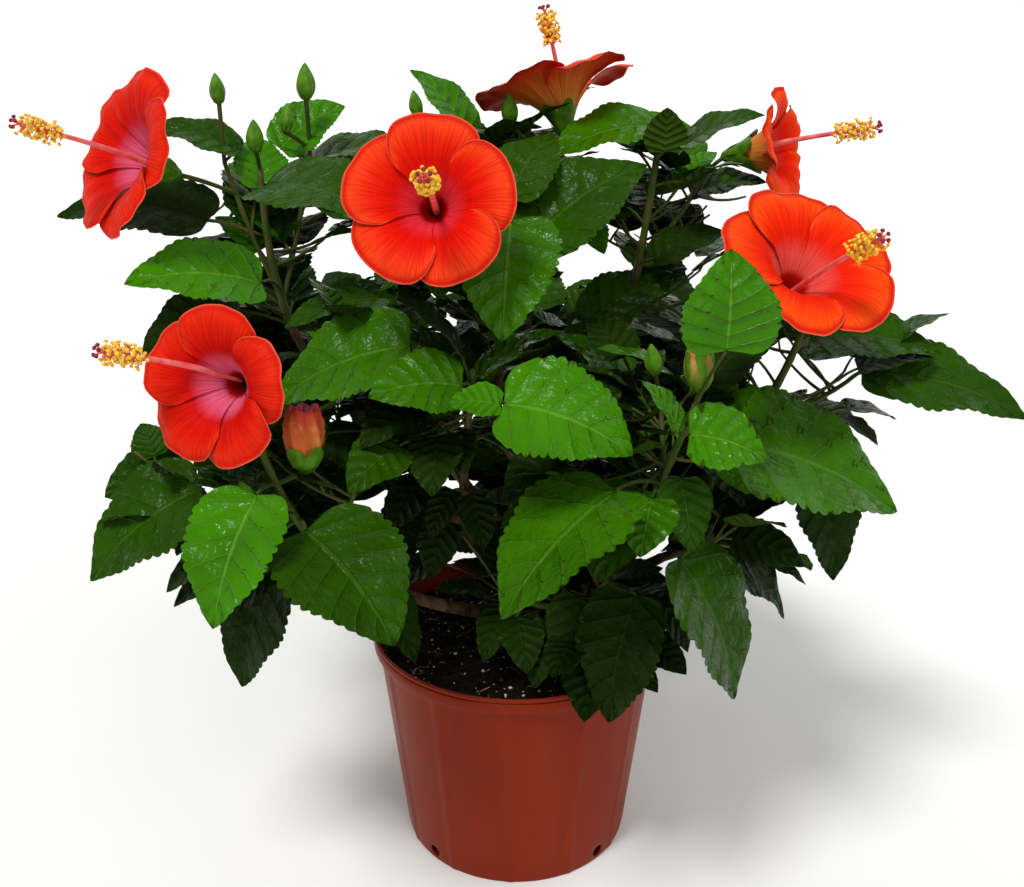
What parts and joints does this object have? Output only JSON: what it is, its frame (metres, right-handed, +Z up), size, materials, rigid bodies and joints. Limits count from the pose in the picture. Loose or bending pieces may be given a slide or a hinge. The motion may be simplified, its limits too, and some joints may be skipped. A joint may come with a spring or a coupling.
{
  "type": "potted hibiscus shrub",
  "caption": "Bushy flowering hibiscus shrub with glossy toothed leaves and large red funnel blooms, in a round tapered plastic nursery pot filled with potting mix.",
  "frame": {"origin": "centre of the pot's flat underside, which stands on the floor at z = 0", "axes": "+Z up along the pot's axis; -Y is the front, the side with the most open blooms; +X to the right seen from the front"},
  "size_m": [0.6856, 0.5589, 0.6469],
  "materials": {
    "pot": "satin",
    "soil": "matte",
    "bark": "matte",
    "foliage": "satin"
  },
  "bodies": {
    "root": {"pot": "pot", "soil": "soil", "trunk": "bark", "bough_crown_left": "bark", "bough_low_left": "bark", "bough_side_left": "bark", "bough_centre_left": "bark", "bough_centre_top": "bark", "bough_crown_top": "bark", "bough_crown_right": "bark", "bough_right_top": "bark", "bough_centre_right": "bark", "bough_right_low": "bark", "bough_low_front": "bark", "bough_side_right": "bark", "bough_back_left": "bark", "bough_back_centre": "bark", "bough_back_right": "bark", "bough_back_low": "bark", "leaves_crown_left": "foliage", "leaves_low_left": "foliage", "leaves_side_left": "foliage", "leaves_centre_left": "foliage", "leaves_centre_top": "foliage", "leaves_crown_top": "foliage", "leaves_crown_right": "foliage", "leaves_right_top": "foliage", "leaves_centre_right": "foliage", "leaves_right_low": "foliage", "leaves_low_front": "foliage", "leaves_side_right": "foliage", "leaves_back_left": "foliage", "leaves_back_centre": "foliage", "leaves_back_right": "foliage", "leaves_back_low": "foliage"}
  },
  "joints": []
}
